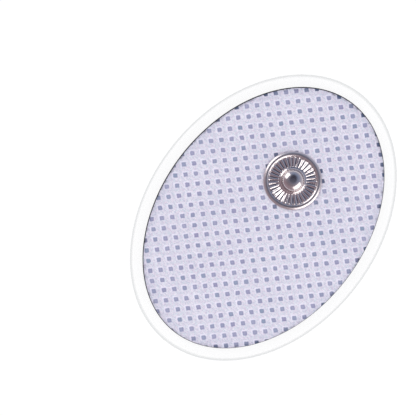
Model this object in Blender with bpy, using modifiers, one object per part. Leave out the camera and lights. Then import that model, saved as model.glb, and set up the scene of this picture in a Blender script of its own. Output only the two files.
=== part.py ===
"""Self-adhesive electrode pad with a snap stud, lying on its clear release liner.

The pad is a laminate: hydrogel, carbon film and spunbond fabric, die-cut together to an oval. A pressed
metal stud sits on the fabric and is clinched to an eyelet whose flange lies under the fabric.

Frame: +Y runs along the oval towards the snap, +Z points up from the liner to the stud, and the origin is
the middle of the liner's underside.
"""

import math

import bmesh
import bpy
from mathutils import Matrix, Vector

MM = 0.001

# The oval that the laminate is cut to, and the liner under it
PAD_LENGTH = 55.0 * MM
PAD_WIDTH = 39.2 * MM
LINER_MARGIN = 2.45 * MM

# Thickness of each layer, from the liner upwards
LINER_THICKNESS = 0.10 * MM
GEL_THICKNESS = 0.90 * MM
FILM_THICKNESS = 0.12 * MM
FABRIC_THICKNESS = 0.35 * MM
BOND_LINE = 0.04 * MM  # the coat of adhesive between two layers

# Edges of the layers: the film shows as a dark line round the fabric, widest at the -X and +Y sides
FABRIC_REVEAL = 0.14 * MM
FABRIC_SHIFT_X = 0.06 * MM
FABRIC_SHIFT_Y = -0.03 * MM
GEL_INSET = 0.08 * MM
GEL_EDGE_ROUNDING = 0.22 * MM

# Bond points: the small squares that the hot roller presses into the fabric, on a slightly skewed grid
BOND_PITCH = 1.95 * MM
BOND_ROW_ANGLE = 44.0  # degrees from +X
BOND_COLUMN_ANGLE = -41.9
BOND_SIDE = 0.78 * MM
BOND_DEPTH = 0.14 * MM
BOND_FLOOR_SHARE = 0.8  # floor of a square against its mouth
BOND_LEAST_INSIDE = 0.10 * MM  # a square whose centre is nearer to the cut edge than this is left out
BOND_START_X = 3.38 * MM
BOND_START_Y = -4.97 * MM

# Snap stud, pressed from sheet
SNAP_OFFSET = 8.9 * MM  # from the middle of the pad towards +Y
SHEET = 0.20 * MM
SNAP_CLEARANCE = 0.08 * MM
STUD_HEIGHT = 2.65 * MM
HEAD_DIAMETER = 3.95 * MM
HEAD_DOME_HEIGHT = 0.95 * MM
HEAD_UNDERCUT_HEIGHT = 0.42 * MM
CROWN_DIAMETER = 1.0 * MM
NECK_DIAMETER = 3.40 * MM
NECK_FILLET = 0.24 * MM
COLLAR_DIAMETER = 5.10 * MM
COLLAR_HEIGHT = 0.78 * MM
COLLAR_START = 75  # part of an oval quarter that the collar follows, in degrees from its foot
COLLAR_END = 30
FLUTE_COUNT = 32
FLUTE_DEPTH = 0.24 * MM
FLUTE_RING_DIAMETER = 9.24 * MM
FLUTE_RAMP = 0.20 * MM  # run-out at both ends of a flute
RIM_DIAMETER = 11.10 * MM
RIM_ROLL_WIDTH = 0.90 * MM
RIM_ROLL_HEIGHT = 0.56 * MM

# Eyelet, pressed from the same sheet: its barrel is swollen inside the stud's head
EYELET_FLANGE_DIAMETER = 8.60 * MM
EYELET_ROOT_FILLET = 0.20 * MM
DISH_SLOPE_RUN = 0.50 * MM  # length over which the film dips round the eyelet

# Facets
OVAL_ARC_STEPS = 16  # each quarter of an oval
STUD_STEPS_PER_FLUTE = 3
EYELET_STEPS = 24
DISH_STEPS = 32
WELD = 0.001 * MM

# Heights of the layers' faces
LINER_TOP = LINER_THICKNESS
GEL_BOTTOM = LINER_TOP + BOND_LINE
GEL_TOP = GEL_BOTTOM + GEL_THICKNESS
FILM_BOTTOM = GEL_TOP + BOND_LINE
FILM_TOP = FILM_BOTTOM + FILM_THICKNESS
FABRIC_BOTTOM = FILM_TOP + BOND_LINE
FABRIC_TOP = FABRIC_BOTTOM + FABRIC_THICKNESS
STUD_BASE = FABRIC_TOP + BOND_LINE
EYELET_FLANGE_TOP = FABRIC_BOTTOM - BOND_LINE
EYELET_BOTTOM = EYELET_FLANGE_TOP - SHEET

# Radii that the stud and the eyelet share
HEAD_RADIUS = HEAD_DIAMETER / 2
NECK_RADIUS = NECK_DIAMETER / 2
COLLAR_RADIUS = COLLAR_DIAMETER / 2
ROLL_RADIUS = (RIM_DIAMETER - RIM_ROLL_WIDTH) / 2
ROLL_HALF_WIDTH = RIM_ROLL_WIDTH / 2
ROLL_HALF_HEIGHT = RIM_ROLL_HEIGHT / 2
BARREL_RADIUS = NECK_RADIUS - SHEET - SNAP_CLEARANCE
SWELL_RADIUS = HEAD_RADIUS - SHEET - SNAP_CLEARANCE
HEAD_WIDEST = STUD_HEIGHT - HEAD_DOME_HEIGHT
NECK_TOP = HEAD_WIDEST - HEAD_UNDERCUT_HEIGHT
FLANGE_TOP = SHEET + FLUTE_DEPTH
FLUTE_END = FLUTE_RING_DIAMETER / 2
FLUTE_RINGS = (COLLAR_RADIUS, COLLAR_RADIUS + FLUTE_RAMP, FLUTE_END - FLUTE_RAMP, FLUTE_END)


def clear_scene():
    for obj in list(bpy.data.objects):
        bpy.data.objects.remove(obj, do_unlink=True)


def new_collection(name):
    collection = bpy.data.collections.new(name)
    bpy.context.scene.collection.children.link(collection)
    return collection


def principled(name, colour, roughness, metallic=0.0, alpha=1.0):
    material = bpy.data.materials.new(name)
    material.use_nodes = True
    shader = material.node_tree.nodes["Principled BSDF"]
    shader.inputs["Base Color"].default_value = (*colour, 1.0)
    shader.inputs["Roughness"].default_value = roughness
    shader.inputs["Metallic"].default_value = metallic
    shader.inputs["Alpha"].default_value = alpha
    material.diffuse_color = (*colour, alpha)
    return material


def oval_plate(name, length, width, thickness, bottom, collection):
    """A flat oval plate: four Bezier arcs along X and Y, filled and extruded."""
    quarter_handle = 4 / 3 * math.tan(math.pi / 8)
    curve = bpy.data.curves.new(name, "CURVE")
    curve.dimensions = "2D"
    curve.fill_mode = "BOTH"
    curve.extrude = thickness / 2
    curve.resolution_u = OVAL_ARC_STEPS
    outline = curve.splines.new("BEZIER")
    outline.bezier_points.add(3)
    outline.use_cyclic_u = True
    for quarter, point in enumerate(outline.bezier_points):
        angle = quarter * math.pi / 2
        place = Vector((math.cos(angle) * width / 2, math.sin(angle) * length / 2, 0))
        reach = Vector((-math.sin(angle) * width / 2, math.cos(angle) * length / 2, 0)) * quarter_handle
        point.co = place
        point.handle_left = place - reach
        point.handle_right = place + reach
    plate = bpy.data.objects.new(name, curve)
    plate.location.z = bottom + thickness / 2
    collection.objects.link(plate)
    return plate


def as_mesh(curve_object):
    """The same object as a welded mesh, which a Boolean or a Bevel can work on."""
    bpy.context.view_layer.update()
    graph = bpy.context.evaluated_depsgraph_get()
    mesh = bpy.data.meshes.new_from_object(curve_object.evaluated_get(graph))
    build = bmesh.new()
    build.from_mesh(mesh)
    bmesh.ops.remove_doubles(build, verts=build.verts, dist=WELD)
    build.to_mesh(mesh)
    build.free()
    name = curve_object.name
    solid = bpy.data.objects.new(name, mesh)
    solid.matrix_world = curve_object.matrix_world.copy()
    curve_object.users_collection[0].objects.link(solid)
    bpy.data.objects.remove(curve_object, do_unlink=True)
    solid.name = name
    return solid


def cone_helper(name, bottom_radius, top_radius, bottom, top, collection):
    """A cone or cylinder on the snap's axis that other solids are cut by or joined to."""
    mesh = bpy.data.meshes.new(name)
    build = bmesh.new()
    bmesh.ops.create_cone(
        build, cap_ends=True, segments=DISH_STEPS, radius1=bottom_radius, radius2=top_radius, depth=top - bottom
    )
    build.to_mesh(mesh)
    build.free()
    helper = bpy.data.objects.new(name, mesh)
    helper.location = (0, SNAP_OFFSET, (bottom + top) / 2)
    helper.hide_render = True
    helper.display_type = "WIRE"
    collection.objects.link(helper)
    return helper


def combine(solid, helper, operation):
    modifier = solid.modifiers.new(operation.title() + " " + helper.name, "BOOLEAN")
    modifier.operation = operation
    modifier.solver = "EXACT"
    modifier.object = helper


def turned(name, section, steps, collection):
    """A solid of revolution about the snap's axis; the section runs down its outer side from the axis."""
    mesh = bpy.data.meshes.new(name + "_section")
    edges = [(i, i + 1) for i in range(len(section) - 1)]
    mesh.from_pydata([(radius, 0, height) for radius, height in section], edges, [])
    solid = bpy.data.objects.new(name, mesh)
    solid.location.y = SNAP_OFFSET
    collection.objects.link(solid)
    screw = solid.modifiers.new("Turn", "SCREW")
    screw.axis = "Z"
    screw.angle = 2 * math.pi
    screw.steps = steps
    screw.render_steps = steps
    screw.use_merge_vertices = True
    screw.merge_threshold = WELD
    screw.use_smooth_shade = True
    return solid


def arc(centre, radii, start, end, steps):
    """Points of an elliptical arc in a section, from one angle to another in degrees."""
    angles = [math.radians(start + (end - start) * i / steps) for i in range(steps + 1)]
    return [(centre[0] + radii[0] * math.cos(a), centre[1] + radii[1] * math.sin(a)) for a in angles]


def shade_smooth(solid, sharp_angle):
    solid.data.shade_smooth()
    solid.data.set_sharp_from_angle(angle=math.radians(sharp_angle))


def build_release_liner(parts):
    """Clear polyester film, cut a little larger than the pad."""
    liner = oval_plate(
        "release_liner",
        PAD_LENGTH + 2 * LINER_MARGIN,
        PAD_WIDTH + 2 * LINER_MARGIN,
        LINER_THICKNESS,
        0,
        parts,
    )
    liner.data.materials.append(principled("clear_polyester_film", (0.86, 0.88, 0.88), 0.08, alpha=0.25))


def dish_cone(name, growth, top, collection):
    """The space of the film's dish from its floor up to a given height, grown outwards by a layer."""
    floor = EYELET_BOTTOM - BOND_LINE
    floor_radius = EYELET_FLANGE_DIAMETER / 2 + SNAP_CLEARANCE + growth
    slope = DISH_SLOPE_RUN / (FILM_TOP - floor)
    top_radius = floor_radius + slope * (top - floor + growth)
    return cone_helper(name, floor_radius, top_radius, floor - growth, top, collection)


def build_hydrogel(parts, helpers):
    """The gel sheet, with rounded edges and a hollow where the film dips round the eyelet."""
    length = PAD_LENGTH - 2 * GEL_INSET
    width = PAD_WIDTH - 2 * GEL_INSET
    gel = as_mesh(oval_plate("hydrogel", length, width, GEL_THICKNESS, GEL_BOTTOM, parts))
    rounding = gel.modifiers.new("Rounded edge", "BEVEL")
    rounding.width = GEL_EDGE_ROUNDING
    rounding.segments = 2
    rounding.limit_method = "ANGLE"
    rounding.angle_limit = math.radians(60)
    combine(gel, dish_cone("gel_hollow", FILM_THICKNESS + BOND_LINE, FILM_TOP, helpers), "DIFFERENCE")
    gel.data.materials.append(principled("clear_hydrogel", (0.62, 0.66, 0.72), 0.06, alpha=0.4))


def build_carbon_film(parts, helpers):
    """The black conductive film, dished downwards where the eyelet's flange lies on it."""
    film = as_mesh(oval_plate("carbon_film", PAD_LENGTH, PAD_WIDTH, FILM_THICKNESS, FILM_BOTTOM, parts))
    middle = FILM_BOTTOM + FILM_THICKNESS / 2
    combine(film, dish_cone("dish_outside", FILM_THICKNESS, middle, helpers), "UNION")
    combine(film, dish_cone("dish_inside", 0, FABRIC_BOTTOM, helpers), "DIFFERENCE")
    film.data.materials.append(principled("carbon_filled_film", (0.012, 0.012, 0.014), 0.45))


def bond_point_places():
    """Centres of the bond points that the fabric shows, from the grid's own start point."""
    row = Vector((math.cos(math.radians(BOND_ROW_ANGLE)), math.sin(math.radians(BOND_ROW_ANGLE))))
    column = Vector((math.cos(math.radians(BOND_COLUMN_ANGLE)), math.sin(math.radians(BOND_COLUMN_ANGLE))))
    start = Vector((BOND_START_X, BOND_START_Y))
    snap = Vector((0, SNAP_OFFSET))
    reach = math.ceil(PAD_LENGTH / BOND_PITCH)
    half_width = PAD_WIDTH / 2 - FABRIC_REVEAL - BOND_LEAST_INSIDE
    half_length = PAD_LENGTH / 2 - FABRIC_REVEAL - BOND_LEAST_INSIDE
    places = []
    for i in range(-reach, reach + 1):
        for j in range(-reach, reach + 1):
            place = start + (row * i + column * j) * BOND_PITCH
            on_fabric = (place.x / half_width) ** 2 + (place.y / half_length) ** 2 < 1
            under_stud = (place - snap).length < ROLL_RADIUS
            if on_fabric and not under_stud:
                places.append(place)
    return places, row, column


def bond_point_cutter(collection):
    """One tapered square block for each bond point, set into the fabric's top face."""
    places, row, column = bond_point_places()
    build = bmesh.new()
    height = 2 * BOND_DEPTH
    for place in places:
        frame = Matrix(
            (
                (column.x * BOND_SIDE, row.x * BOND_SIDE, 0, place.x),
                (column.y * BOND_SIDE, row.y * BOND_SIDE, 0, place.y),
                (0, 0, height, 0),
                (0, 0, 0, 1),
            )
        )
        block = bmesh.ops.create_cube(build, size=1, matrix=frame)["verts"]
        for corner in block:
            share = BOND_FLOOR_SHARE if corner.co.z < 0 else 2 - BOND_FLOOR_SHARE
            corner.co.xy = place + (corner.co.xy - place) * share
    mesh = bpy.data.meshes.new("bond_points")
    build.to_mesh(mesh)
    build.free()
    cutter = bpy.data.objects.new("bond_points", mesh)
    cutter.location.z = FABRIC_TOP
    cutter.hide_render = True
    cutter.display_type = "WIRE"
    collection.objects.link(cutter)
    return cutter


def build_nonwoven_backing(parts, helpers):
    """Spunbond fabric with its pressed bond points and the hole that the eyelet's barrel makes."""
    fabric = as_mesh(
        oval_plate(
            "nonwoven_backing",
            PAD_LENGTH - 2 * FABRIC_REVEAL,
            PAD_WIDTH - 2 * FABRIC_REVEAL,
            FABRIC_THICKNESS,
            FABRIC_BOTTOM,
            parts,
        )
    )
    fabric.location.x = FABRIC_SHIFT_X
    fabric.location.y = FABRIC_SHIFT_Y
    hole_radius = BARREL_RADIUS + EYELET_ROOT_FILLET
    hole = cone_helper("barrel_hole", hole_radius, hole_radius, FILM_TOP, STUD_BASE, helpers)
    combine(fabric, hole, "DIFFERENCE")
    combine(fabric, bond_point_cutter(helpers), "DIFFERENCE")
    fabric.data.materials.append(principled("spunbond_polypropylene", (0.72, 0.70, 0.82), 0.85))


def stud_section():
    """The stud's section: down over head, neck, collar, flutes and rim, then back along the underside."""
    crown_angle = math.degrees(math.acos(CROWN_DIAMETER / HEAD_DIAMETER))
    dome = arc((0, HEAD_WIDEST), (HEAD_RADIUS, HEAD_DOME_HEIGHT), crown_angle, 0, 3)
    undercut = (HEAD_RADIUS - NECK_RADIUS, HEAD_UNDERCUT_HEIGHT)
    under_head = arc((NECK_RADIUS, HEAD_WIDEST), undercut, -45, -90, 1)
    neck_root = (NECK_RADIUS + NECK_FILLET, COLLAR_HEIGHT + NECK_FILLET)
    neck = arc(neck_root, (NECK_FILLET, NECK_FILLET), 180, 270, 2)
    collar_run = (COLLAR_RADIUS - neck_root[0]) / math.cos(math.radians(COLLAR_END))
    collar_rise = (COLLAR_HEIGHT - FLANGE_TOP) / (1 - math.sin(math.radians(COLLAR_END)))
    collar_centre = (neck_root[0], COLLAR_HEIGHT - collar_rise)
    collar = arc(collar_centre, (collar_run, collar_rise), COLLAR_START, COLLAR_END, 2)[:-1]
    fluted = [(radius, FLANGE_TOP) for radius in FLUTE_RINGS]
    roll = arc((ROLL_RADIUS, ROLL_HALF_HEIGHT), (ROLL_HALF_WIDTH, ROLL_HALF_HEIGHT), 120, 0, 4)
    outer_side = [(0, dome[0][1])] + dome + under_head + neck + collar + fluted + roll

    inside_roll = [(ROLL_RADIUS, height) for height in (0, SHEET, RIM_ROLL_HEIGHT - SHEET)]
    under_ring = [(ROLL_RADIUS - ROLL_HALF_WIDTH, FLANGE_TOP - SHEET)]
    under_flutes = [(radius, FLANGE_TOP - SHEET) for radius in reversed(FLUTE_RINGS[1:-1])]
    under_collar = [(neck_root[0] + collar_run / 2 - SHEET / 2, FLANGE_TOP), (neck_root[0], COLLAR_HEIGHT - SHEET)]
    inside_neck = [(NECK_RADIUS - SHEET, neck_root[1]), (NECK_RADIUS - SHEET, NECK_TOP)]
    inside_dome = arc((0, HEAD_WIDEST), (HEAD_RADIUS - SHEET, HEAD_DOME_HEIGHT - SHEET), 0, 90, 2)
    underside = inside_roll + under_ring + under_flutes + under_collar + inside_neck + inside_dome
    return outer_side + underside


def press_flutes(mesh):
    """Presses the radial flutes into the flange, through the whole sheet, with a run-out at both ends."""
    inner, outer = FLUTE_RINGS[0], FLUTE_RINGS[-1]
    for vertex in mesh.vertices:
        radius = vertex.co.xy.length
        run_out = min(radius - inner, outer - radius) / FLUTE_RAMP
        angle = math.atan2(vertex.co.y, vertex.co.x)
        wave = (1 - math.cos(FLUTE_COUNT * angle)) / 2
        vertex.co.z -= FLUTE_DEPTH * wave * min(max(run_out, 0), 1)


def build_snap_stud(parts):
    """Nickel-plated stud: ball head on a neck and collar, fluted flange and rolled rim, all one sheet."""
    stud = as_mesh(turned("snap_stud", stud_section(), FLUTE_COUNT * STUD_STEPS_PER_FLUTE, parts))
    press_flutes(stud.data)
    stud.location.z = STUD_BASE
    shade_smooth(stud, 50)
    stud.data.materials.append(principled("nickel_plated_brass", (0.78, 0.74, 0.71), 0.2, metallic=1.0))


def build_snap_eyelet(parts):
    """Eyelet: a flange under the fabric and a hollow barrel, swollen inside the stud's head to hold it."""
    up = STUD_BASE - EYELET_BOTTOM
    swell_height = up + HEAD_WIDEST
    swell_rise = HEAD_DOME_HEIGHT - SHEET - SNAP_CLEARANCE
    root = (BARREL_RADIUS + EYELET_ROOT_FILLET, SHEET + EYELET_ROOT_FILLET)
    bore = BARREL_RADIUS - SHEET
    section = arc((0, swell_height), (SWELL_RADIUS, swell_rise), 90, 0, 3)
    section += [(BARREL_RADIUS, up + NECK_TOP)]
    section += arc(root, (EYELET_ROOT_FILLET, EYELET_ROOT_FILLET), 180, 270, 2)
    section += [(EYELET_FLANGE_DIAMETER / 2, SHEET), (EYELET_FLANGE_DIAMETER / 2, 0)]
    section += [(root[0], 0), (bore, EYELET_ROOT_FILLET), (bore, up + NECK_TOP)]
    section += arc((0, swell_height), (SWELL_RADIUS - SHEET, swell_rise - SHEET), 0, 90, 2)
    eyelet = turned("snap_eyelet", section, EYELET_STEPS, parts)
    eyelet.location.z = EYELET_BOTTOM
    eyelet.data.materials.append(principled("plated_eyelet", (0.72, 0.71, 0.70), 0.3, metallic=1.0))


def build_parts():
    clear_scene()
    parts = new_collection("snap_electrode_pad")
    helpers = new_collection("cutters")
    build_release_liner(parts)
    build_hydrogel(parts, helpers)
    build_carbon_film(parts, helpers)
    build_nonwoven_backing(parts, helpers)
    build_snap_eyelet(parts)
    build_snap_stud(parts)


build_parts()
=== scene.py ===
"""Looks of the snap electrode pad: an oval of clear gel, black carbon film and bonded fabric with a pressed
metal snap, lying on its clear release liner. Built from the liner upwards, as the pad is laminated."""

import math

import bpy
import numpy as np
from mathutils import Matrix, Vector


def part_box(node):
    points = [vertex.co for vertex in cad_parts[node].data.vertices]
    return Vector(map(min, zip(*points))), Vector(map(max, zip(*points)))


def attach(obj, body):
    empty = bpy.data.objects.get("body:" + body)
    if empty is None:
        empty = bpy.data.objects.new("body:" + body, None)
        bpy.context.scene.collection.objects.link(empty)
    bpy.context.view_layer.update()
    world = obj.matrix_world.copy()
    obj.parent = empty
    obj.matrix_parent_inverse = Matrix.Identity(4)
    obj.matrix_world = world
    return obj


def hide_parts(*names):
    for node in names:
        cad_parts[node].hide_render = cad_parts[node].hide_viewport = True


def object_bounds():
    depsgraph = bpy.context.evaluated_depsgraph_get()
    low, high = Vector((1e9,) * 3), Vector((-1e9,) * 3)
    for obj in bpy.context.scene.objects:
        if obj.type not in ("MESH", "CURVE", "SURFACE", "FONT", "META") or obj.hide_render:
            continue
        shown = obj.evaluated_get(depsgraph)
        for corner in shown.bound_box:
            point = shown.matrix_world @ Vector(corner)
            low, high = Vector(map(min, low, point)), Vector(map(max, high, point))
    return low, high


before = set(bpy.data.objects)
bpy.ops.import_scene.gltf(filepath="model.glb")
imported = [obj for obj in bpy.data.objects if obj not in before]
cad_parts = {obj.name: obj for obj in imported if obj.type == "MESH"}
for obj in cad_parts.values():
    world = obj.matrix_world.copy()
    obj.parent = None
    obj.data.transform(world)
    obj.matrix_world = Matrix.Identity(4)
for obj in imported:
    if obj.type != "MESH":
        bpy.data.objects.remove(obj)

MM = 0.001
cad_low, cad_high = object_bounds()

# Camera, straight above the pad with a long lens, as the photograph was taken. The pad lies askew in the
# picture, so the camera is rolled about the vertical, and the pad is right of the picture's middle.
PICTURE_WIDTH = 78.8 * MM
PICTURE_MIDDLE = Vector((-9.40, -5.07)) * MM
CAMERA_ROLL = math.radians(38.17)
LENS = 200.0
SENSOR = 36.0

fabric_low, fabric_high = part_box("nonwoven_backing")
camera_data = bpy.data.cameras.new("camera")
camera_data.lens = LENS
camera_data.sensor_width = SENSOR
camera_data.clip_start = 0.01
camera_data.clip_end = 20
camera = bpy.data.objects.new("camera", camera_data)
camera.location = (*PICTURE_MIDDLE, fabric_high.z + PICTURE_WIDTH * LENS / SENSOR)
camera.rotation_euler = (0, 0, CAMERA_ROLL)
bpy.context.scene.collection.objects.link(camera)
bpy.context.scene.camera = camera
bpy.context.scene.view_settings.view_transform = "Standard"


# Table and light. The table is a matt white sheet that shows as white and keeps a soft shadow. Two soft
# boxes stand low at the pad's -X and +X sides; the room is grey-blue towards +Y, brown-grey towards -Y, and
# dim overhead, which the metal mirrors.
TABLE_SIDE = 6.0
TABLE_GAP = 0.02 * MM
TABLE_WHITE = "F4F4F4"
TABLE_GLOW = 0.90
TABLE_SHARE = 0.13
LAMP_DISTANCE = 0.60
LAMPS = {
    "soft_box_left": {"towards": 173, "height": 33, "width": 0.36, "length": 0.42, "power": 1.06},
    "soft_box_right": {"towards": -13, "height": 32, "width": 0.60, "length": 0.42, "power": 1.62},
}
ROOM_SIDES = (("A08F99", "C4C3D0"), ("6E636C", "8796B4"))  # towards -Y and +Y, at the horizon and halfway up
ROOM_ABOVE = "39394A"
ROOM_LIGHT = "D1CFDA"  # what matt surfaces get from the white walls outside the part that the metal mirrors
ABOVE_SIDE = (-0.12, 0.29, 0.95)  # the dimmest part of the room, a little to the -X and +Y side of overhead
WALLS_BLEND = (-0.6, 0.6)  # from the brown-grey side to the grey-blue one, as a share of the way to +Y
HALFWAY_UP = (0.35, 0.86)  # from the horizon to halfway up, as the cosine of the angle from ABOVE_SIDE
OVERHEAD = (0.885, 0.975)  # from there to the dimmest part, in the same measure


def linear(colour):
    """An sRGB hex colour as the linear colour that a shader takes."""
    levels = [int(colour[i : i + 2], 16) / 255 for i in (0, 2, 4)]
    return (*[v / 12.92 if v <= 0.04045 else ((v + 0.055) / 1.055) ** 2.4 for v in levels], 1.0)


def add(tree, kind, inputs=None, **settings):
    """Adds a shader node. Each input takes a value, or another node's output to be linked."""
    node = tree.nodes.new("ShaderNode" + kind)
    for name, value in settings.items():
        setattr(node, name, value)
    for socket, value in (inputs or {}).items():
        if isinstance(value, bpy.types.Node):
            value = value.outputs[0]
        if isinstance(value, bpy.types.NodeSocket):
            tree.links.new(value, node.inputs[socket])
        else:
            node.inputs[socket].default_value = value
    return node


def ramp(tree, value, start, end, low=0.0, high=1.0, kind="LINEAR"):
    """A value that runs from low to high while another runs from start to end."""
    ends = {"Value": value, "From Min": start, "From Max": end, "To Min": low, "To Max": high}
    return add(tree, "MapRange", ends, interpolation_type=kind)


def mirrored_or_seen(tree):
    """1 for the camera's own rays and those off metal or through a clear piece, 0 for all others."""
    path = add(tree, "LightPath").outputs
    seen = add(tree, "Math", {0: path["Is Camera Ray"], 1: path["Is Glossy Ray"]}, operation="ADD")
    return add(tree, "Math", {0: seen, 1: path["Is Transmission Ray"]}, operation="ADD", use_clamp=True)


def new_tree(name, kind):
    """The empty node tree of a new material or world."""
    holder = getattr(bpy.data, kind).new(name)
    holder.use_nodes = True
    holder.node_tree.nodes.clear()
    return holder, holder.node_tree


def show(piece):
    """Puts a new object into the scene."""
    bpy.context.scene.collection.objects.link(piece)
    return piece


side = TABLE_SIDE / 2
table_mesh = bpy.data.meshes.new("table")
table_corners = [(-side, -side, 0), (side, -side, 0), (side, side, 0), (-side, side, 0)]
table_mesh.from_pydata(table_corners, [], [(0, 1, 2, 3)])
table = show(bpy.data.objects.new("table", table_mesh))
table.location.z = cad_low.z - TABLE_GAP
table_white, tree = new_tree("matt_white_table", "materials")
seen = mirrored_or_seen(tree)
matt = add(tree, "BsdfDiffuse", {"Color": linear(TABLE_WHITE)})
part_matt = add(tree, "BsdfDiffuse", {"Color": [TABLE_SHARE] * 3 + [1]})
glow = add(tree, "Emission", {"Color": linear("FFFFFF"), "Strength": TABLE_GLOW})
bright = add(tree, "AddShader", {0: part_matt, 1: glow})
look = add(tree, "MixShader", {0: seen, 1: matt, 2: bright})
add(tree, "OutputMaterial", {"Surface": look})
table_mesh.materials.append(table_white)

for name, lamp in LAMPS.items():
    light = bpy.data.lights.new(name, "AREA")
    light.shape = "RECTANGLE"
    light.size = lamp["width"]
    light.size_y = lamp["length"]
    light.energy = lamp["power"]
    box = show(bpy.data.objects.new(name, light))
    around, up = math.radians(lamp["towards"]), math.radians(lamp["height"])
    direction = Vector((math.cos(around) * math.cos(up), math.sin(around) * math.cos(up), math.sin(up)))
    box.location = direction * LAMP_DISTANCE
    box.rotation_euler = direction.to_track_quat("Z", "Y").to_euler()
    box.visible_camera = False

room, tree = new_tree("room", "worlds")
direction = add(tree, "TexCoord").outputs["Generated"]
towards = add(tree, "SeparateXYZ", {0: direction}).outputs
height = add(tree, "VectorMath", {0: direction, 1: ABOVE_SIDE}, operation="DOT_PRODUCT").outputs["Value"]
across = ramp(tree, towards["Y"], *WALLS_BLEND)
walls = [add(tree, "MixRGB", {0: across, 1: linear(brown), 2: linear(blue)}) for brown, blue in ROOM_SIDES]
halfway = ramp(tree, height, *HALFWAY_UP)
overhead = ramp(tree, height, *OVERHEAD)
shade = add(tree, "MixRGB", {0: halfway, 1: walls[0], 2: walls[1]})
shade = add(tree, "MixRGB", {0: overhead, 1: shade, 2: linear(ROOM_ABOVE)})
seen = mirrored_or_seen(tree)
shade = add(tree, "MixRGB", {0: seen, 1: linear(ROOM_LIGHT), 2: shade})
add(tree, "OutputWorld", {"Surface": add(tree, "Background", {"Color": shade, "Strength": 1.0})})
bpy.context.scene.world = room


# Release liner: clear polyester film, die-cut a little larger than the pad. The die leaves a low burr and a
# hazy line along the cut, and these are nearly all that shows of the film on white. The line's grey tint is
# the die's haze together with painted shade of the cut edge.
OVAL_STEPS = 288
BURR_HEIGHT = 0.03 * MM
BURR_RINGS = ((0.06, 0.5), (0.14, 1.0), (0.26, 0.5), (0.45, 0.0), (1.5, 0.0))  # inset in mm, share of height
CUT_WIDTH = 0.55 * MM
CUT_BEVEL = 0.04 * MM  # where the die has drawn the film's lower edge in
FILM_TINT = "C6CCCA"
EDGE_HAZE_AND_SHADE_TINT = "9AA3A0"
EDGE_HAZE_AND_SHADE_ALPHA = 0.15
CLOUD_HAZE = 0.008
EDGE_ON_HAZE = 0.3


def oval(half_width, half_length, z, centre=(0, 0)):
    """Points evenly round an oval or circle at one height."""
    turns = np.linspace(0, 2 * math.pi, OVAL_STEPS, endpoint=False)
    x = centre[0] + half_width * np.cos(turns)
    y = centre[1] + half_length * np.sin(turns)
    return np.stack([x, y, np.full(OVAL_STEPS, z)], axis=1)


def new_piece(name, points, faces, slot, node):
    """A smooth piece that stands for a node of the CAD model."""
    mesh = bpy.data.meshes.new(name)
    mesh.from_pydata([tuple(p) for p in points], [], faces)
    mesh.validate()
    mesh.shade_smooth()
    piece = show(bpy.data.objects.new(name, mesh))
    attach(piece, "root")
    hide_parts(node)
    return piece


def lofted(rings):
    """Points and faces of a solid through rings of points, its bottom ring first, with both ends filled."""
    steps = len(rings[0])
    faces = [tuple(reversed(range(steps)))]
    for first in range(0, (len(rings) - 1) * steps, steps):
        for i in range(steps):
            j = (i + 1) % steps
            faces.append((first + i, first + j, first + steps + j, first + steps + i))
    faces.append(tuple(range((len(rings) - 1) * steps, len(rings) * steps)))
    return np.concatenate(rings), faces


liner_low, liner_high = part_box("release_liner")
half_width, half_length = liner_high.x, liner_high.y
rings = [oval(half_width - CUT_BEVEL, half_length - CUT_BEVEL, liner_low.z)]
rings += [oval(half_width, half_length, share * liner_high.z) for share in (0.3, 0.8)]
for inset, share in BURR_RINGS:
    rings.append(oval(half_width - inset * MM, half_length - inset * MM, liner_high.z + share * BURR_HEIGHT))
liner = new_piece("clear_liner_film", *lofted(rings), "clear_film", "release_liner")

liner_look, tree = new_tree("clear_polyester_film", "materials")
place = add(tree, "TexCoord").outputs["Object"]
across = add(tree, "VectorMath", {0: place, 1: (1 / half_width, 1 / half_length, 0)}, operation="MULTIPLY")
reach = add(tree, "VectorMath", {0: across}, operation="LENGTH").outputs["Value"]
cut_share = CUT_WIDTH / half_width
cut = ramp(tree, reach, 1 - cut_share, 1 - 0.2 * cut_share, kind="SMOOTHSTEP")
cloud = add(tree, "TexNoise", {"Vector": place, "Scale": 0.25 / MM, "Detail": 3.0})
haze = ramp(tree, cloud, 0.0, 1.0, 0.0, CLOUD_HAZE)
edge_on = add(tree, "LayerWeight", {"Blend": 0.25}).outputs["Fresnel"]
haze = add(tree, "Math", {0: edge_on, 1: EDGE_ON_HAZE, 2: haze}, operation="MULTIPLY_ADD")
# Along the cut the film turns grey and less clear: the die's haze, and painted shade of the cut edge.
alpha = add(tree, "Mix", {"Factor": cut, "A": haze, "B": EDGE_HAZE_AND_SHADE_ALPHA}, data_type="FLOAT")
tint = add(tree, "MixRGB", {0: cut, 1: linear(FILM_TINT), 2: linear(EDGE_HAZE_AND_SHADE_TINT)})
film = {"Base Color": tint, "Roughness": 0.12, "IOR": 1.57, "Alpha": alpha}
add(tree, "OutputMaterial", {"Surface": add(tree, "BsdfPrincipled", film)})
liner.data.materials.append(liner_look)


# Hydrogel: a slab of clear, tacky gel cast on the film's underside and cut with it. It is wet and glossy,
# its edge is rounded, and the film's dish under the eyelet leaves a hollow in its top face.
EDGE_ROUNDING = 0.22 * MM
FILM_THICKNESS = 0.12 * MM
DISH_SLOPE = 0.50 * MM
DISH_MARGIN = 0.08 * MM  # round the eyelet's flange
LAYER_GAP = 0.04 * MM
BUBBLE_SIZE = (0.10, 0.16)  # in cells of the pattern, where a bubble is full and where it ends
GEL_TINTS = ("E4ECF2", "F2F5F8")
eyelet_low, eyelet_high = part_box("snap_eyelet")
snap = (0, (eyelet_low.y + eyelet_high.y) / 2)
dish_radius = eyelet_high.x + DISH_MARGIN
hollow_margin = FILM_THICKNESS + LAYER_GAP  # round the film's dish


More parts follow.
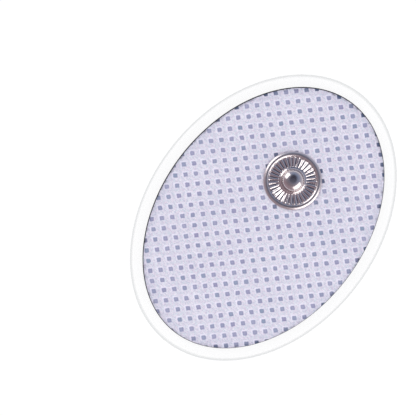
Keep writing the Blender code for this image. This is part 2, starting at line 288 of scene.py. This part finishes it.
def dish(radius, z):
    """A ring of the dish that the eyelet's flange presses into the layers below it."""
    return oval(radius, radius, z, snap)


gel_low, gel_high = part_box("hydrogel")
film_low, film_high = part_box("carbon_film")
rings = []
for quarter in (-90, -60, -30, 0, 30, 60, 90):
    angle = math.radians(quarter)
    inset = EDGE_ROUNDING * (1 - math.cos(angle))
    middle = gel_low.z + EDGE_ROUNDING if quarter <= 0 else gel_high.z - EDGE_ROUNDING
    rings.append(oval(gel_high.x - inset, gel_high.y - inset, middle + EDGE_ROUNDING * math.sin(angle)))
rings.append(dish(dish_radius + hollow_margin + DISH_SLOPE + LAYER_GAP, gel_high.z))
rings.append(dish(dish_radius + hollow_margin, film_low.z - LAYER_GAP))
gel = new_piece("clear_gel_slab", *lofted(rings), "hydrogel", "hydrogel")

gel_look, tree = new_tree("clear_tacky_hydrogel", "materials")
place = add(tree, "TexCoord").outputs["Object"]
ripple = add(tree, "TexNoise", {"Vector": place, "Scale": 0.6 / MM, "Detail": 2.0})
bubbles = add(tree, "TexVoronoi", {"Vector": place, "Scale": 0.55 / MM})
bubble = ramp(tree, bubbles, *BUBBLE_SIZE, 1.0, 0.0)
relief = add(tree, "Math", {0: ripple, 1: 0.6, 2: bubble}, operation="MULTIPLY_ADD")
bump = add(tree, "Bump", {"Height": relief, "Strength": 0.25, "Distance": 0.03 * MM})
cloudy = add(tree, "MixRGB", {0: ripple, 1: linear(GEL_TINTS[0]), 2: linear(GEL_TINTS[1])})
gel_wet = {"Base Color": cloudy, "Roughness": 0.06, "IOR": 1.37, "Transmission Weight": 1.0, "Normal": bump}
add(tree, "OutputMaterial", {"Surface": add(tree, "BsdfPrincipled", gel_wet)})
gel.data.materials.append(gel_look)


# Conductive film: black carbon-filled plastic film that spreads the current over the gel. Its cut edge is
# the dark line round the fabric, and it dips where the eyelet's flange lies on it.
FILM_EDGE = ((0.03, 0.0), (0.0, 0.2), (0.0, 0.8), (0.03, 1.0))  # inset in mm, share of thickness
CARBON_TINTS = ("101116", "20222A")

rings = [dish(dish_radius + FILM_THICKNESS, film_low.z)]
rings.append(dish(dish_radius + DISH_SLOPE + FILM_THICKNESS, film_high.z - FILM_THICKNESS))
for inset, share in FILM_EDGE:
    height = film_high.z + (share - 1) * FILM_THICKNESS
    rings.append(oval(film_high.x - inset * MM, film_high.y - inset * MM, height))
rings += [dish(dish_radius + DISH_SLOPE, film_high.z), dish(dish_radius, film_low.z + FILM_THICKNESS)]
carbon = new_piece("black_carbon_film", *lofted(rings), "carbon_film", "carbon_film")

carbon_look, tree = new_tree("extruded_carbon_filled_film", "materials")
place = add(tree, "TexCoord").outputs["Object"]
grain = add(tree, "TexNoise", {"Vector": place, "Scale": 4 / MM, "Detail": 4.0})
black = add(tree, "MixRGB", {0: grain, 1: linear(CARBON_TINTS[0]), 2: linear(CARBON_TINTS[1])})
satin = ramp(tree, grain, 0.0, 1.0, 0.38, 0.55)
bump = add(tree, "Bump", {"Height": grain, "Strength": 0.3, "Distance": 0.01 * MM})
filled = {"Base Color": black, "Roughness": satin, "Normal": bump}
add(tree, "OutputMaterial", {"Surface": add(tree, "BsdfPrincipled", filled)})
carbon.data.materials.append(carbon_look)


# Fabric backing: white-lilac spunbond polypropylene. A hot roller presses small squares into it that melt
# the fibres together, so the fabric stands up in soft pillows between them and the black film shows through.
GRID_ORIGIN = np.array((3.384, -4.968)) * MM
GRID_ROW = np.array((1.4056, 1.3564)) * MM
GRID_COLUMN = np.array((1.4502, -1.3013)) * MM
SQUARE_HALF = 0.39 * MM
SQUARE_FLAT = 0.72  # share of the square that is level
SQUARE_CORNERS = 6  # the higher this power, the sharper the square's corners
SQUARE_DEPTH = 0.14 * MM
PILLOW_HEIGHT = 0.05 * MM
PILLOW_REACH = 1.0 * MM
PILLOW_FULLNESS = 2.6
PILLOW_LINES = (0.0, 0.09, 0.155, 0.20, 0.25, 0.36)  # mesh lines in half a cell, close at the square's edge
CUT_SLOPE = 0.07 * MM
CUT_SLOPE_WIDTH = 1.1 * MM
CUT_PROFILE = ((0.05, 0.0), (0.015, 0.3), (0.0, 0.6), (0.0, 1.0))  # inset in mm, share of the way down
CUT_BORDER = 0.10 * MM  # from the grid's last whole squares to the cut
PRESSED_RADIUS = 5.45 * MM
PRESSED_SLOPE = 0.7 * MM
BARREL_HOLE = 1.62 * MM
GRID_REACH = 21
DARKER_SIDE = (0.786, 0.618, 0)  # the side of the pad where the cut squares look darkest
DARKER_FROM = (-20.0, -6.0)  # mm towards that side
SQUARE_END = (0.170, 0.225)  # in cells from a square's middle, as are the two below
LIT_RING = ((0.215, 0.285), (0.305, 0.385))  # where the lit shoulder round a square starts and where it ends
SQUARE_RIM = (0.07, 0.16)
CUT_SQUARES = (0.968, 0.992)  # in shares of the way to the cut, as are the four below
TO_CUT = (0.955, 0.992)
CUT_SHADE = (0.91, 1.0)
CUT_SMUDGE = (0.978, 1.0)
CUT_LINE = (0.993, 1.0)
SQUARES_BY_RIM = (6.15, 5.85)  # mm from the snap's middle
FIBRES = ((17, 0.11, 1.3), (74, 0.10, 1.0), (131, 0.12, 1.2))  # turn in degrees, width and length in mm
THIN_TINTS = ("E6DAE4", "D8E4E8")
FIBRE_TINT = "FCF9FC"
GAP_TINT = "ACACC6"
LIT_TINT = "F6F3FD"
CLOUD_TINT = "8C8CAE"
CUT_SHADE_TINT = "8082A4"
SQUARE_TINTS = ("A29EBB", "94A5B8", "AEAFC6")
SQUARE_RIM_TINT = "8487AE"
# The same dark tint goes on squares next to the snap's rim, as soaking and also as painted shade of the rim.
SOAKED_AND_RIM_SHADE_TINT = "4E5C78"  # where the adhesive has soaked a square and the black film shows most
# Dark smudges at the cut, and the painted shade line along the cut edge.
SMUDGE_AND_EDGE_SHADE_TINT = "2E3448"

fabric_centre = np.array(((fabric_low.x + fabric_high.x) / 2, (fabric_low.y + fabric_high.y) / 2))
fabric_half = np.array((fabric_high.x - fabric_low.x, fabric_high.y - fabric_low.y)) / 2
snap_centre = np.array(snap)
cell_inverse = np.linalg.inv(np.stack([GRID_ROW, GRID_COLUMN], axis=1))


def smooth_step(value, start, end):
    """Runs from 0 to 1 with soft ends while a value runs from start to end."""
    share = np.clip((value - start) / (end - start), 0, 1)
    return share * share * (3 - 2 * share)


def fabric_height(places):
    """Height of the upper face: pillows, pressed squares, a slope at the cut, and level under the snap."""
    cells = (places - GRID_ORIGIN) @ cell_inverse.T
    inside = np.abs(cells - np.round(cells)) * np.linalg.norm(GRID_ROW)
    from_square = (inside**SQUARE_CORNERS).sum(axis=1) ** (1 / SQUARE_CORNERS)
    level = SQUARE_FLAT * SQUARE_HALF
    rise = np.clip((from_square - level) / (PILLOW_REACH - level), 0, 1)
    pillow = (SQUARE_DEPTH + PILLOW_HEIGHT) * (1 - (1 - rise) ** PILLOW_FULLNESS) - SQUARE_DEPTH
    reach = np.linalg.norm((places - fabric_centre) / fabric_half, axis=1)
    near_cut = smooth_step(reach, 1 - CUT_SLOPE_WIDTH / fabric_half[0], 1.0)
    from_snap = np.linalg.norm(places - snap_centre, axis=1)
    free = smooth_step(from_snap, PRESSED_RADIUS, PRESSED_RADIUS + PRESSED_SLOPE)
    return fabric_high.z + free * pillow - CUT_SLOPE * near_cut


def cell_lines():
    """Mesh lines across the grid, as cell numbers with their shares of a cell."""
    half = list(PILLOW_LINES)
    one_cell = [-share for share in reversed(half[1:])] + half + [0.5]
    return np.array([cell + share for cell in range(-GRID_REACH, GRID_REACH + 1) for share in one_cell])


def fitted_to(points, centre, half, inset=0.0):
    """The points of a stepped border moved out or in to an oval, spaced along it without turning back."""
    angles = np.unwrap(np.arctan2((points[:, 1] - centre[1]) / half[1], (points[:, 0] - centre[0]) / half[0]))
    turn = 2 * math.pi if angles[-1] > angles[0] else -2 * math.pi
    spread = 6
    padded = np.concatenate([angles[-spread:] - turn, angles, angles[:spread] + turn])
    even = np.convolve(padded, np.ones(2 * spread + 1) / (2 * spread + 1), mode="valid")
    return centre + (half - inset) * np.stack([np.cos(even), np.sin(even)], axis=1)


lines = cell_lines()
rows, columns = np.meshgrid(lines, lines, indexing="ij")
grid = GRID_ORIGIN + rows.reshape(-1, 1) * GRID_ROW + columns.reshape(-1, 1) * GRID_COLUMN
count = len(lines)
in_cut = np.linalg.norm((grid - fabric_centre) / (fabric_half - CUT_BORDER), axis=1) < 1
off_barrel = np.linalg.norm(grid - snap_centre, axis=1) > BARREL_HOLE + CUT_BORDER
kept = (in_cut & off_barrel).reshape(count, count)
squares = kept[:-1, :-1] & kept[1:, :-1] & kept[1:, 1:] & kept[:-1, 1:]
across_i, across_j = np.nonzero(squares)
corner = across_i * count + across_j
quads = np.stack([corner, corner + 1, corner + count + 1, corner + count], axis=1)
used, index = np.unique(quads, return_inverse=True)
quads = index.reshape(-1, 4)
plan = grid[used]
a, b = plan[quads[0, 1]] - plan[quads[0, 0]], plan[quads[0, 3]] - plan[quads[0, 0]]
if a[0] * b[1] - a[1] * b[0] < 0:  # the faces look down, so they are turned over
    quads = quads[:, ::-1]

# The two loops of edges that belong to one face only are the cut round the fabric and the barrel's hole.
ends = np.concatenate([quads[:, [k, (k + 1) % 4]] for k in range(4)])
known = set(map(tuple, ends.tolist()))
following = {start: end for start, end in known if (end, start) not in known}
loops = []
while following:
    start, point = next(iter(following.items()))
    loop = [start]
    del following[start]
    while point != start:
        loop.append(point)
        point = following.pop(point)
    loops.append(loop)
loops.sort(key=len, reverse=True)

points = [np.column_stack([plan, fabric_height(plan)])]
faces = [tuple(quad) for quad in quads.tolist()]
total = len(plan)
floors = []
outer_cut = (loops[0], fabric_centre, fabric_half, 1)
inner_cut = (loops[1], snap_centre, np.full(2, BARREL_HOLE), -1)
for loop, centre, half, inwards in (outer_cut, inner_cut):
    last = loop
    for inset, drop in CUT_PROFILE:
        edge = fitted_to(plan[loop], centre, half, inwards * inset * MM)
        top = fabric_height(edge)
        points.append(np.column_stack([edge, top + drop * (fabric_low.z - top)]))
        ring = list(range(total, total + len(loop)))
        total += len(loop)
        for k in range(len(loop)):
            n = (k + 1) % len(loop)
            faces.append((last[n], last[k], ring[k], ring[n]))
        last = ring
    floors.append(last)
outer, inner = floors
points = np.concatenate(points)
ratio = len(outer) / len(inner)


def place_at_x(ring, centre):
    """Which point of a ring lies nearest to the +X side of its middle."""
    angles = np.arctan2(points[ring, 1] - centre[1], points[ring, 0] - centre[0])
    return int(np.argmin(np.abs(angles)))


# The underside is one level band from the outer cut to the hole, so both rings start at their +X side.
outer_start = place_at_x(outer, fabric_centre)
inner_start = place_at_x(inner, snap_centre)
outer = outer[outer_start:] + outer[:outer_start]
inner = list(reversed(inner[inner_start + 1 :] + inner[: inner_start + 1]))
for k in range(len(outer)):
    n = (k + 1) % len(outer)
    here = inner[int(k / ratio) % len(inner)]
    there = inner[int((k + 1) / ratio) % len(inner)] if n else inner[0]
    faces.append((outer[n], outer[k], here) if here == there else (outer[n], outer[k], here, there))
fabric = new_piece("bonded_fabric", points, faces, "nonwoven", "nonwoven_backing")

fabric_look, tree = new_tree("spunbond_polypropylene", "materials")
metres = add(tree, "TexCoord").outputs["Object"]
place = add(tree, "VectorMath", {0: metres, "Scale": 1 / MM}, operation="SCALE")
from_start = add(tree, "VectorMath", {0: place, 1: (*(GRID_ORIGIN / MM), 0)}, operation="SUBTRACT")
cell = []
inside = []
aside = []
for inverse in cell_inverse * MM:
    along = add(tree, "VectorMath", {0: from_start, 1: (*inverse, 0)}, operation="DOT_PRODUCT")
    along = along.outputs["Value"]
    nearest = add(tree, "Math", {0: along}, operation="ROUND")
    offset = add(tree, "Math", {0: along, 1: nearest}, operation="SUBTRACT")
    aside.append(offset)
    offset = add(tree, "Math", {0: offset}, operation="ABSOLUTE")
    cell.append(nearest)
    inside.append(add(tree, "Math", {0: offset, 1: SQUARE_CORNERS}, operation="POWER"))
both = add(tree, "Math", {0: inside[0], 1: inside[1]}, operation="ADD")
from_square = add(tree, "Math", {0: both, 1: 1 / SQUARE_CORNERS}, operation="POWER")
torn = add(tree, "TexNoise", {"Vector": place, "Scale": 2.2, "Detail": 2.0})
torn = add(tree, "Math", {0: torn, 1: 0.5}, operation="SUBTRACT")
from_square = add(tree, "Math", {0: torn, 1: 0.11, 2: from_square}, operation="MULTIPLY_ADD")
pressed = ramp(tree, from_square, *SQUARE_END, 1.0, 0.0, "SMOOTHSTEP")
cell_place = add(tree, "CombineXYZ", {0: cell[0], 1: cell[1]})
chance = add(tree, "TexWhiteNoise", {"Vector": cell_place}, noise_dimensions="2D").outputs["Value"]

square_middle = []
for start, row, column in zip(GRID_ORIGIN / MM, GRID_ROW / MM, GRID_COLUMN / MM):
    by_row = add(tree, "Math", {0: cell[0], 1: row, 2: start}, operation="MULTIPLY_ADD")
    square_middle.append(add(tree, "Math", {0: cell[1], 1: column, 2: by_row}, operation="MULTIPLY_ADD"))
square_middle = add(tree, "CombineXYZ", {0: square_middle[0], 1: square_middle[1]})
oval_share = (*(MM / fabric_half), 0)
oval_shift = (*(-fabric_centre / fabric_half), 0)
reaches = []
for spot in (square_middle, place):
    scaled = add(tree, "VectorMath", {0: spot, 1: oval_share, 2: oval_shift}, operation="MULTIPLY_ADD")
    reaches.append(add(tree, "VectorMath", {0: scaled}, operation="LENGTH").outputs["Value"])
cut_square = ramp(tree, reaches[0], *CUT_SQUARES)
near_snap = {0: square_middle, 1: (*(snap_centre / MM), 0)}
near_snap = add(tree, "VectorMath", near_snap, operation="DISTANCE").outputs["Value"]
# Squares close to the rim darken: partly soaking, partly painted shade that the rim casts on them.
by_rim = ramp(tree, near_snap, *SQUARES_BY_RIM)
to_cut = ramp(tree, reaches[1], *TO_CUT, 0.15, 1.0)
cut_square = add(tree, "Math", {0: cut_square, 1: to_cut}, operation="MULTIPLY")
darker = add(tree, "VectorMath", {0: square_middle, 1: DARKER_SIDE}, operation="DOT_PRODUCT").outputs["Value"]
darker = ramp(tree, darker, *DARKER_FROM, 0.3, 1.0)
cut_square = add(tree, "Math", {0: cut_square, 1: darker}, operation="MULTIPLY")
uneven = ramp(tree, chance, 0.0, 1.0, 0.5, 1.0)
by_rim = add(tree, "Math", {0: by_rim, 1: uneven}, operation="MULTIPLY")
soaked_and_rim_shade = add(tree, "Math", {0: cut_square, 1: by_rim}, operation="MAXIMUM")

# Real fibres are 0.02 mm wide. They are drawn coarser here, because finer ones would not show in a picture.
fibres = None
for turn, width, length in FIBRES:
    stretch = {"Vector": place, "Rotation": (0, 0, math.radians(turn)), "Scale": (1 / length, 1 / width, 1)}
    strand = {"Vector": add(tree, "Mapping", stretch), "Scale": 1.0, "Detail": 3.0, "Roughness": 0.6}
    strand = add(tree, "TexNoise", strand)
    fibres = strand if fibres is None else add(tree, "Math", {0: fibres, 1: strand}, operation="MAXIMUM")
fibre = ramp(tree, fibres, 0.52, 0.70)
cloud = add(tree, "TexNoise", {"Vector": place, "Scale": 0.16, "Detail": 2.0})
tangle = add(tree, "TexNoise", {"Vector": place, "Scale": 3.0, "Detail": 3.0, "Roughness": 0.75})
elsewhere = add(tree, "Mapping", {"Vector": place, "Location": (7, 3, 0)})
blush = add(tree, "TexNoise", {"Vector": elsewhere, "Scale": 2.4, "Detail": 2.0})
blush = ramp(tree, blush, 0.35, 0.65)

thin = add(tree, "MixRGB", {0: blush, 1: linear(THIN_TINTS[0]), 2: linear(THIN_TINTS[1])})
cloth = add(tree, "MixRGB", {0: fibre, 1: thin, 2: linear(FIBRE_TINT)})
gap = ramp(tree, tangle, 0.34, 0.58, 0.52, 0.0)
cloth = add(tree, "MixRGB", {0: gap, 1: cloth, 2: linear(GAP_TINT)})
lit_inner = ramp(tree, from_square, *LIT_RING[0], kind="SMOOTHSTEP")
lit_ring = ramp(tree, from_square, *LIT_RING[1], 1.0, 0.0, "SMOOTHSTEP")
lit_side = add(tree, "Math", {0: aside[0], 1: aside[1]}, operation="ADD")
lit_side = ramp(tree, lit_side, -0.25, 0.20, 0.8, 0.3)
lit_ring = add(tree, "Math", {0: lit_inner, 1: lit_ring}, operation="MULTIPLY")
lit_ring = add(tree, "Math", {0: lit_ring, 1: lit_side}, operation="MULTIPLY")
cloth = add(tree, "MixRGB", {0: lit_ring, 1: cloth, 2: linear(LIT_TINT)})
cloudy = ramp(tree, cloud, 0.3, 0.7, 0.06, 0.0)
cloth = add(tree, "MixRGB", {0: cloudy, 1: cloth, 2: linear(CLOUD_TINT)})
near_cut = ramp(tree, reaches[1], *CUT_SHADE, 0.0, 0.15, "SMOOTHSTEP")
cloth = add(tree, "MixRGB", {0: near_cut, 1: cloth, 2: linear(CUT_SHADE_TINT)})
smudge_and_edge_shade = add(tree, "TexNoise", {"Vector": place, "Scale": 0.9, "Detail": 3.0, "Roughness": 0.6})
smudge_and_edge_shade = ramp(tree, smudge_and_edge_shade, 0.46, 0.70, 0.0, 0.85)
at_cut = ramp(tree, reaches[1], *CUT_SMUDGE)
smudge_and_edge_shade = add(tree, "Math", {0: smudge_and_edge_shade, 1: at_cut}, operation="MULTIPLY")
# The dark line right at the cut is painted shade of the fabric's edge, where it turns down to the black film.
cut_line = ramp(tree, reaches[1], *CUT_LINE, 0.0, 0.28)
smudge_and_edge_shade = add(tree, "Math", {0: smudge_and_edge_shade, 1: cut_line}, operation="MAXIMUM")
second_chance = add(tree, "TexWhiteNoise", {"Vector": cell_place}, noise_dimensions="2D").outputs["Color"]
second_chance = add(tree, "SeparateXYZ", {0: second_chance}).outputs["Z"]
mauve = add(tree, "MixRGB", {0: second_chance, 1: linear(SQUARE_TINTS[0]), 2: linear(SQUARE_TINTS[1])})
square_look = add(tree, "MixRGB", {0: chance, 1: mauve, 2: linear(SQUARE_TINTS[2])})
square_rim = ramp(tree, from_square, *SQUARE_RIM, 0.0, 0.42)
square_look = add(tree, "MixRGB", {0: square_rim, 1: square_look, 2: linear(SQUARE_RIM_TINT)})
square_look = add(tree, "MixRGB", {0: soaked_and_rim_shade, 1: square_look, 2: linear(SOAKED_AND_RIM_SHADE_TINT)})
cloth = add(tree, "MixRGB", {0: pressed, 1: cloth, 2: square_look})
cloth = add(tree, "MixRGB", {0: smudge_and_edge_shade, 1: cloth, 2: linear(SMUDGE_AND_EDGE_SHADE_TINT)})
fuzz = add(tree, "Math", {0: tangle, 1: fibre}, operation="ADD")
fuzz = add(tree, "Math", {0: pressed, 1: -0.9, 2: fuzz}, operation="MULTIPLY_ADD", use_clamp=True)
bump = add(tree, "Bump", {"Height": fuzz, "Strength": 0.5, "Distance": 0.02 * MM})
rough = ramp(tree, pressed, 0.0, 1.0, 0.85, 0.5)
spun = {"Base Color": cloth, "Roughness": rough, "IOR": 1.49, "Sheen Weight": 0.06, "Normal": bump}
add(tree, "OutputMaterial", {"Surface": add(tree, "BsdfPrincipled", spun)})
fabric.data.materials.append(fabric_look)


# Eyelet: pressed from thin plated brass. Its flange lies under the fabric and its barrel stands up inside the
# stud, where the setting tool has swollen it, so nothing of it shows from outside.
EYELET_TINTS = ("BDB8B0", "CFCBC4")

eyelet_look, tree = new_tree("pressed_plated_brass", "materials")
place = add(tree, "TexCoord").outputs["Object"]
rubbed = add(tree, "TexNoise", {"Vector": place, "Scale": 1.5 / MM, "Detail": 4.0})
plate = add(tree, "MixRGB", {0: rubbed, 1: linear(EYELET_TINTS[0]), 2: linear(EYELET_TINTS[1])})
dull = ramp(tree, rubbed, 0.0, 1.0, 0.22, 0.38)
plated = {"Base Color": plate, "Roughness": dull, "Metallic": 1.0}
add(tree, "OutputMaterial", {"Surface": add(tree, "BsdfPrincipled", plated)})
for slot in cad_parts["snap_eyelet"].material_slots:
    slot.material = eyelet_look


# Snap stud: pressed from one disc of thin brass and nickel-plated bright. The head and neck are drawn up in
# the middle from a low cone, the flutes stiffen the flange round it, and the rim is rolled over.
SHEET = 0.20 * MM
STUD_HEIGHT = 2.65 * MM
HEAD_RADIUS = 1.975 * MM
DOME_HEIGHT = 0.95 * MM
UNDERCUT = 0.42 * MM
CROWN_RADIUS = 0.5 * MM
NECK_RADIUS = 1.70 * MM
FLARE_MIDDLE = (2.70 * MM, 1.10 * MM)
FLARE_RADIUS = 0.70 * MM
FLARE_ARC = (215, 259)  # degrees round its middle, from the cone to the ribs
CONE_TOP = (1.80 * MM, 1.19 * MM)
FLUTES = 32
STEPS_A_FLUTE = 14
RIB_WIDTH = 0.73  # share of the space from one flute to the next
RIB_SLOPE = 0.037  # rib height against the radius
FLANGE_TOP = 0.36 * MM
FLUTE_OUTER = 4.62 * MM
FLUTE_RAMP = 0.20 * MM
FLUTE_START = 0.07 * MM
FLUTE_SHIFTS = (0.012, 0.006)  # radians, since a pressed part is never quite even
FLUTE_SHALLOWING = 0.08
SMALL_RIB = (3.5 * MM, 4.2 * MM, 0.045 * MM)  # where they start, where they are full, and their height
RIB_FOOT = 3.22 * MM
RIB_FALL = 1.15  # power of the curve in which the ribs fall from the collar
FALL_PRESS = 0.4  # share of that fall by which the flutes are deeper there
RIM_FOOT = 4.36 * MM
RIM_CREST = (5.04 * MM, 0.55 * MM)
CREST_ROUNDING = 0.38 * MM
CREST_SPREAD = (0.50 * MM, 0.43 * MM)  # towards the flutes, and towards the edge
RIM_SIDE = 0.19 * MM
RIM_UNDER = (0.21 * MM, 0.18 * MM)
PRESS_MARKS = (14.0, 0.5)  # how many to a radian, and how many to a mm outwards
NICKEL_TINTS = ("D9CFCD", "E4DCDA")
WORN_HEAD = (1.9 * MM, 2.3 * MM, 0.09)  # where its rubbing fades, and the roughness that it adds
HANDLED_RIM = (4.55 * MM, 4.85 * MM, 0.19)  # where its handling grows, and the roughness that it adds


def arc(centre, radii, start, end, steps):
    """Points of an oval arc in a section, from one angle to another in degrees."""
    angles = np.radians(np.linspace(start, end, steps + 1))
    return [(centre[0] + radii[0] * math.cos(a), centre[1] + radii[1] * math.sin(a)) for a in angles]


stud_low, stud_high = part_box("snap_stud")
rim_radius = stud_high.x
head_widest = STUD_HEIGHT - DOME_HEIGHT
crown_angle = math.degrees(math.acos(CROWN_RADIUS / HEAD_RADIUS))
collar = [CONE_TOP] + arc(FLARE_MIDDLE, (FLARE_RADIUS, FLARE_RADIUS), *FLARE_ARC, 14)
rib_start, rib_top = collar[-1]
crest_middle = (RIM_CREST[0], RIM_CREST[1] - CREST_ROUNDING)
crest = arc(crest_middle, (CREST_SPREAD[0], CREST_ROUNDING), 121, 90, 8)
crest += arc(crest_middle, (CREST_SPREAD[1], CREST_ROUNDING), 85, 64, 5)
crest += arc((rim_radius - RIM_UNDER[0], RIM_SIDE), (RIM_UNDER[0], RIM_UNDER[0]), 61, 0, 6)


def collar_fall(radius):
    """Height of the ribs over the flange, to which they fall from the collar."""
    share = min(max((RIB_FOOT - radius) / (RIB_FOOT - rib_start), 0), 1)
    return (rib_top - FLANGE_TOP) * share**RIB_FALL


def rib_height(radius):
    """Height of the ribs between the flutes, from the collar to the hollow that rises to the rim."""
    to_rim = min(max((radius - RIM_FOOT) / (crest[0][0] - RIM_FOOT), 0), 1)
    return FLANGE_TOP + collar_fall(radius) + (crest[0][1] - FLANGE_TOP) * to_rim**2


crown_top = head_widest + DOME_HEIGHT * math.sin(math.radians(crown_angle))
section = [(0, crown_top), (0.45 * CROWN_RADIUS, crown_top), (0.85 * CROWN_RADIUS, crown_top - 0.006 * MM)]
section += arc((0, head_widest), (HEAD_RADIUS, DOME_HEIGHT), crown_angle - 3, 0, 20)
section += arc((NECK_RADIUS, head_widest), (HEAD_RADIUS - NECK_RADIUS, UNDERCUT), -12, -90, 7)
section += collar
flute_radii = [rib_start + share * FLUTE_START for share in (0.25, 0.5, 0.75, 1)]
flute_radii += list(np.linspace(rib_start + FLUTE_START, FLUTE_OUTER - FLUTE_RAMP, 14)[1:-1])
flute_radii += [FLUTE_OUTER - share * FLUTE_RAMP for share in (1, 0.75, 0.5, 0.25, 0)]
section += [(radius, rib_height(radius)) for radius in flute_radii]
section += crest
section += arc((rim_radius - RIM_UNDER[0], crest[-1][1]), RIM_UNDER, -15, -90, 5)
section += [(RIM_CREST[0] + SHEET, height) for height in (crest[-1][1] - RIM_UNDER[1], SHEET)]
section += [(RIM_CREST[0] + aside, RIM_CREST[1] - SHEET) for aside in (SHEET / 2, -SHEET / 2)]
section += [(radius, rib_height(radius) - SHEET) for radius in reversed(flute_radii)]
section += arc(FLARE_MIDDLE, (FLARE_RADIUS + SHEET, FLARE_RADIUS + SHEET), FLARE_ARC[1], 222, 6)
section += [(NECK_RADIUS - SHEET, head_widest - UNDERCUT)]
section += arc((0, head_widest), (HEAD_RADIUS - SHEET, DOME_HEIGHT - SHEET), 0, 75, 5)
section += [(0, head_widest + DOME_HEIGHT - SHEET)]

turns = np.linspace(0, 2 * math.pi, FLUTES * STEPS_A_FLUTE, endpoint=False)
uneven = turns + FLUTE_SHIFTS[0] * np.sin(5 * turns + 1) + FLUTE_SHIFTS[1] * np.sin(11 * turns)
across_rib = (FLUTES * uneven / (2 * math.pi) + 0.5) % 1 - 0.5
wave = (1 - np.cos(2 * math.pi * np.clip(across_rib / RIB_WIDTH, -0.5, 0.5))) / 2
wave = wave * (1 - FLUTE_SHALLOWING * (1 + np.sin(7 * turns + 2)))
from_valley = np.abs(across_rib) - 0.5
between = (1 + np.cos(2 * math.pi * np.clip(from_valley / (1 - RIB_WIDTH), -0.5, 0.5))) / 2
rings = []
for radius, height in section[1:-1]:
    run_out = smooth_step(radius - rib_start, 0, FLUTE_START)
    run_out *= smooth_step(FLUTE_OUTER - radius, 0, FLUTE_RAMP)
    fluted = rib_start < radius < FLUTE_OUTER
    drop = RIB_SLOPE * radius + FALL_PRESS * collar_fall(radius)
    small = SMALL_RIB[2] * smooth_step(radius, *SMALL_RIB[:2])
    press = run_out * (drop * wave - small * between) if fluted else 0 * wave
    x, y = radius * np.cos(turns), snap[1] + radius * np.sin(turns)
    rings.append(np.column_stack([x, y, stud_low.z + height - press]))
points, faces = lofted(rings[::-1])
stud = new_piece("pressed_snap_stud", points, faces, "nickel_plate", "snap_stud")
stud.data.set_sharp_from_angle(angle=math.radians(60))

stud_look, tree = new_tree("polished_nickel_plate", "materials")
place = add(tree, "TexCoord").outputs["Object"]
smear = add(tree, "TexNoise", {"Vector": place, "Scale": 0.9 / MM, "Detail": 4.0})
pits = add(tree, "TexNoise", {"Vector": place, "Scale": 9 / MM, "Detail": 3.0})
from_axis = add(tree, "VectorMath", {0: place, 1: (1, 1, 0)}, operation="MULTIPLY")
from_axis = add(tree, "VectorMath", {0: from_axis, 1: (*snap, 0)}, operation="DISTANCE").outputs["Value"]
worn = ramp(tree, from_axis, *WORN_HEAD, 0.0)
nickel = add(tree, "MixRGB", {0: smear, 1: linear(NICKEL_TINTS[0]), 2: linear(NICKEL_TINTS[1])})
polish = ramp(tree, smear, 0.0, 1.0, 0.09, 0.14)
polish = add(tree, "Math", {0: polish, 1: worn}, operation="ADD")
handled = ramp(tree, from_axis, *HANDLED_RIM[:2], 0.0, HANDLED_RIM[2])
polish = add(tree, "Math", {0: polish, 1: handled}, operation="ADD")

# Marks of the press, drawn out from the axis. They are wider here than the real ones, which would not show.
split = add(tree, "VectorMath", {0: place, 1: (*snap, 0)}, operation="SUBTRACT")
split = add(tree, "SeparateXYZ", {0: split}).outputs
turn = add(tree, "Math", {0: split["Y"], 1: split["X"]}, operation="ARCTAN2")
turn = add(tree, "Math", {0: turn, 1: PRESS_MARKS[0]}, operation="MULTIPLY")
out = add(tree, "Math", {0: from_axis, 1: PRESS_MARKS[1] / MM}, operation="MULTIPLY")
drawn = {"Vector": add(tree, "CombineXYZ", {0: turn, 1: out}), "Scale": 1.0, "Detail": 3.0, "Roughness": 0.7}
drawn = add(tree, "TexNoise", drawn, noise_dimensions="2D")
on_flutes = ramp(tree, from_axis, RIB_FOOT, FLUTE_OUTER - FLUTE_RAMP)
off_rim = ramp(tree, from_axis, FLUTE_OUTER - FLUTE_RAMP, FLUTE_OUTER, 1.0, 0.0)
drawn = add(tree, "Math", {0: drawn, 1: on_flutes}, operation="MULTIPLY")
drawn = add(tree, "Math", {0: drawn, 1: off_rim}, operation="MULTIPLY")
relief = add(tree, "Math", {0: pits, 1: 0.12, 2: drawn}, operation="MULTIPLY_ADD")
bump = add(tree, "Bump", {"Height": relief, "Strength": 0.8, "Distance": 0.06 * MM})
plated = {"Base Color": nickel, "Metallic": 1.0, "Roughness": polish, "Normal": bump}
add(tree, "OutputMaterial", {"Surface": add(tree, "BsdfPrincipled", plated)})
stud.data.materials.append(stud_look)
